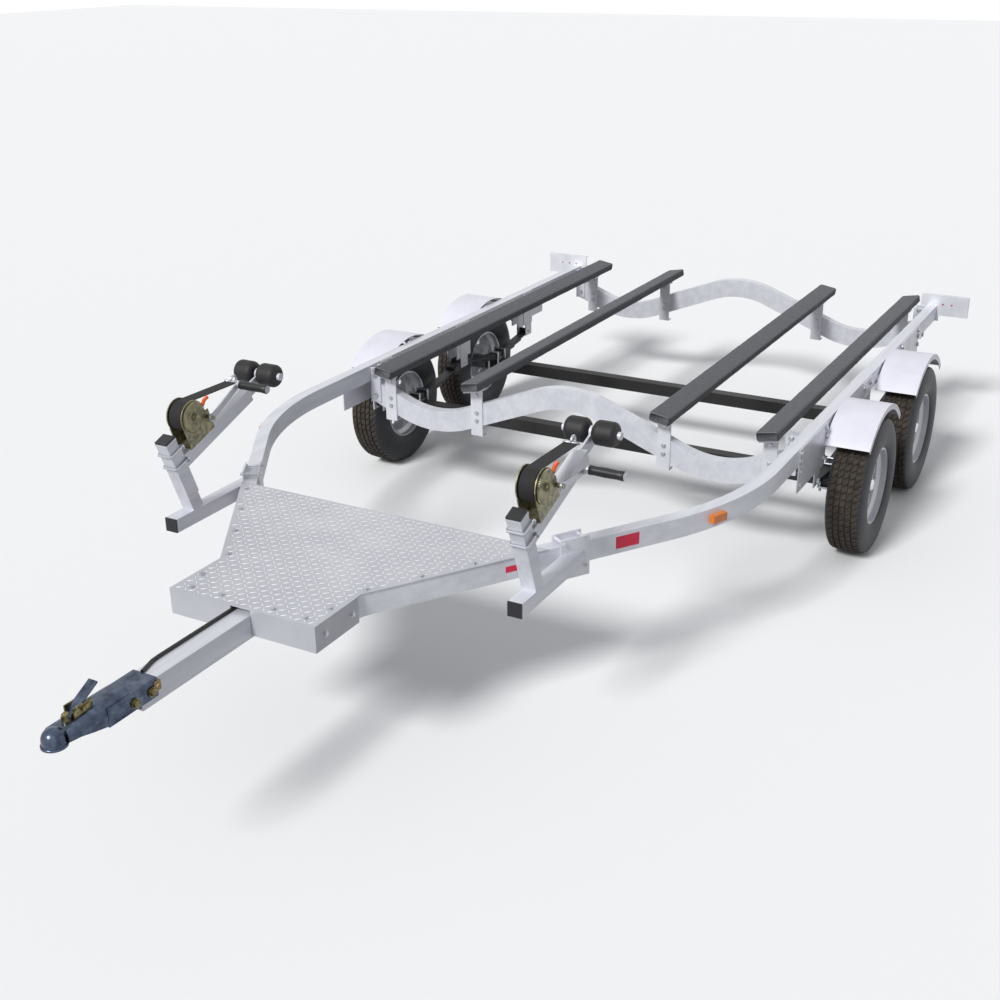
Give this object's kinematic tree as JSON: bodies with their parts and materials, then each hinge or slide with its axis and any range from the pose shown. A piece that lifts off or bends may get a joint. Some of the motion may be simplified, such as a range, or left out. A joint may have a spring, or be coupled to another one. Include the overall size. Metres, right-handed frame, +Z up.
{
  "type": "boat trailer",
  "caption": "Aluminium boat trailer with tandem axles, carpeted bunks, tread-plate deck and paired winch stands for two small craft.",
  "frame": {"origin": "on the ground below the middle of the trailer's length and width", "axes": "+X points forward to the coupler, +Y to the trailer's left, +Z up"},
  "size_m": [5.475, 2.59, 1.0478],
  "materials": {
    "frame_tube": "extruded mill finish, light brushing along the tube",
    "tread_plate": "rolled tread plate with raised bars",
    "stand_tube": "extruded mill finish",
    "bracket_plate": "cut and folded plate, mill finish",
    "bunk_carpet": "short-pile marine carpet stapled round a board",
    "axle_paint": "satin black paint",
    "spring_steel": "dark grey paint over spring steel",
    "zinc_steel": "zinc-plated steel",
    "coupler_plating": "bright zinc plating",
    "fender_sheet": "smooth sheet, satin",
    "winch_plating": "yellow-passivated zinc plating",
    "strap_webbing": "woven black webbing",
    "crank_plating": "plated lever with a black plastic grip",
    "roller_rubber": "matt black moulded rubber",
    "cap_plastic": "matt black moulded plastic",
    "red_lens": "moulded red lens",
    "amber_lens": "moulded amber lens",
    "tyre_rubber": "radial trailer tyre, dusty tread",
    "wheel_paint": "silver-painted pressed steel",
    "hub_paint": "zinc-plated hub and cap"
  },
  "bodies": {
    "frame": {"tongue": "frame_tube", "coupler": "coupler_plating", "coupler_latch": "coupler_plating", "deck_plate": "tread_plate", "deck_frame": "frame_tube", "left_rail": "frame_tube", "right_rail": "frame_tube", "front_crossmember": "frame_tube", "rear_crossmember": "frame_tube", "left_outer_bunk": "bunk_carpet", "left_inner_bunk": "bunk_carpet", "right_inner_bunk": "bunk_carpet", "right_outer_bunk": "bunk_carpet", "bunk_brackets": "bracket_plate", "front_axle": "axle_paint", "rear_axle": "axle_paint", "springs": "spring_steel", "spring_hangers": "bracket_plate", "equalizers": "spring_steel", "axle_clamps": "zinc_steel", "left_front_fender": "fender_sheet", "left_rear_fender": "fender_sheet", "right_front_fender": "fender_sheet", "right_rear_fender": "fender_sheet", "fender_brackets": "bracket_plate", "left_winch_stand": "stand_tube", "right_winch_stand": "stand_tube", "stand_clamps": "bracket_plate", "left_winch": "winch_plating", "right_winch": "winch_plating", "winch_straps": "strap_webbing", "winch_cranks": "crank_plating", "end_caps": "cap_plastic", "light_brackets": "bracket_plate", "tail_lamps": "red_lens", "side_markers": "amber_lens"},
    "left_front_wheel_body": {"left_front_tyre": "tyre_rubber", "left_front_wheel": "wheel_paint", "left_front_hub": "hub_paint"},
    "left_rear_wheel_body": {"left_rear_tyre": "tyre_rubber", "left_rear_wheel": "wheel_paint", "left_rear_hub": "hub_paint"},
    "right_front_wheel_body": {"right_front_tyre": "tyre_rubber", "right_front_wheel": "wheel_paint", "right_front_hub": "hub_paint"},
    "right_rear_wheel_body": {"right_rear_tyre": "tyre_rubber", "right_rear_wheel": "wheel_paint", "right_rear_hub": "hub_paint"},
    "left_outer_roller_body": {"left_outer_bow_roller": "roller_rubber"},
    "left_inner_roller_body": {"left_inner_bow_roller": "roller_rubber"},
    "right_inner_roller_body": {"right_inner_bow_roller": "roller_rubber"},
    "right_outer_roller_body": {"right_outer_bow_roller": "roller_rubber"}
  },
  "joints": [
    {"name": "left_front_axle_spin", "type": "hinge", "parent": "frame", "child": "left_front_wheel_body", "pos_m": [-0.7575, 1.21, 0.302], "axis": [0, 1, 0], "continuous": true},
    {"name": "left_rear_axle_spin", "type": "hinge", "parent": "frame", "child": "left_rear_wheel_body", "pos_m": [-1.5815, 1.21, 0.302], "axis": [0, 1, 0], "continuous": true},
    {"name": "right_front_axle_spin", "type": "hinge", "parent": "frame", "child": "right_front_wheel_body", "pos_m": [-0.7575, -1.21, 0.302], "axis": [0, 1, 0], "continuous": true},
    {"name": "right_rear_axle_spin", "type": "hinge", "parent": "frame", "child": "right_rear_wheel_body", "pos_m": [-1.5815, -1.21, 0.302], "axis": [0, 1, 0], "continuous": true},
    {"name": "left_outer_roller_spin", "type": "hinge", "parent": "frame", "child": "left_outer_roller_body", "pos_m": [0.93236, 0.749, 1.00482], "axis": [0, 1, 0], "continuous": true},
    {"name": "left_inner_roller_spin", "type": "hinge", "parent": "frame", "child": "left_inner_roller_body", "pos_m": [0.93236, 0.645, 1.00482], "axis": [0, 1, 0], "continuous": true},
    {"name": "right_inner_roller_spin", "type": "hinge", "parent": "frame", "child": "right_inner_roller_body", "pos_m": [0.93236, -0.645, 1.00482], "axis": [0, 1, 0], "continuous": true},
    {"name": "right_outer_roller_spin", "type": "hinge", "parent": "frame", "child": "right_outer_roller_body", "pos_m": [0.93236, -0.749, 1.00482], "axis": [0, 1, 0], "continuous": true}
  ]
}
